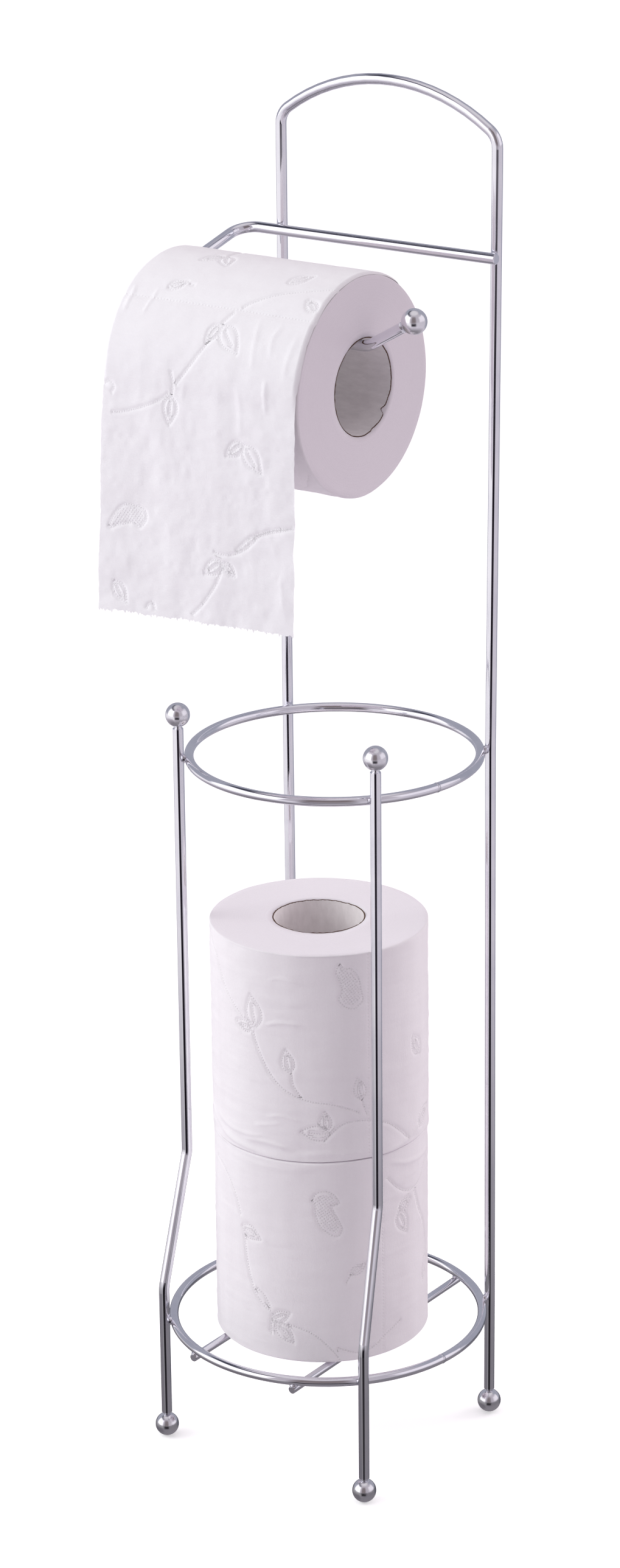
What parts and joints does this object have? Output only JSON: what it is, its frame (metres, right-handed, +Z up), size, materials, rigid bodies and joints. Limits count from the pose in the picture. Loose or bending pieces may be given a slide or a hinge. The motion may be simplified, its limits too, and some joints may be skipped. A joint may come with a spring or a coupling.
{
  "type": "toilet roll stand",
  "caption": "Free-standing chrome wire stand for toilet rolls: arched handle, side arm with a roll in use and its loose sheet, round cage with spare rolls, ball feet.",
  "frame": {"origin": "on the floor, under the centre of the upper ring, midway between the left and right legs", "axes": "+Z up, -Y towards the front where the loose sheet hangs, +X towards the open end of the arm"},
  "size_m": [0.1636, 0.169, 0.6499],
  "materials": {
    "chrome_wire": "bright chrome plate on steel wire",
    "chrome_ball": "bright chrome plate on steel ball",
    "chrome_weld": "plated weld metal, slightly rough",
    "cardboard_core": "grey-white board, matt",
    "tissue": "soft embossed tissue, matt",
    "tissue_sheet": "soft embossed two-ply tissue, matt"
  },
  "bodies": {
    "stand": {"back_frame": "chrome_wire", "front_leg_left": "chrome_wire", "front_leg_right": "chrome_wire", "upper_ring": "chrome_wire", "lower_ring": "chrome_wire", "cross_bar_left": "chrome_wire", "cross_bar_right": "chrome_wire", "roll_arm": "chrome_wire", "arm_tip_ball": "chrome_ball", "finial_ball_left": "chrome_ball", "finial_ball_right": "chrome_ball", "foot_ball_front_left": "chrome_ball", "foot_ball_front_right": "chrome_ball", "foot_ball_back_left": "chrome_ball", "foot_ball_back_right": "chrome_ball", "upper_ring_welds": "chrome_weld", "lower_ring_welds": "chrome_weld", "cross_bar_welds": "chrome_weld", "arm_welds": "chrome_weld"},
    "hanging_roll": {"hanging_core": "cardboard_core", "hanging_paper": "tissue"},
    "loose_sheet": {"tail_sheet": "tissue_sheet"},
    "lower_spare": {"lower_spare_core": "cardboard_core", "lower_spare_paper": "tissue"},
    "upper_spare": {"upper_spare_core": "cardboard_core", "upper_spare_paper": "tissue"}
  },
  "joints": [
    {"name": "roll_spin", "type": "hinge", "parent": "stand", "child": "hanging_roll", "pos_m": [0, -0.0493, 0.5333], "axis": [1, 0, 0], "range_deg": [-90, 180]},
    {"name": "sheet_feed", "type": "slide", "parent": "stand", "child": "loose_sheet", "axis": [0, 0, -1], "range_m": [-0.078, 0.155]},
    {"name": "lower_spare_lift", "type": "slide", "parent": "stand", "child": "lower_spare", "axis": [0, 0, 1], "range_m": [0, 0.1]},
    {"name": "upper_spare_lift", "type": "slide", "parent": "lower_spare", "child": "upper_spare", "axis": [0, 0, 1], "range_m": [0, 0.11]}
  ],
  "couplings": [
    {"joint": "sheet_feed", "follows": "roll_spin", "m_per_rad": 0.0491}
  ]
}
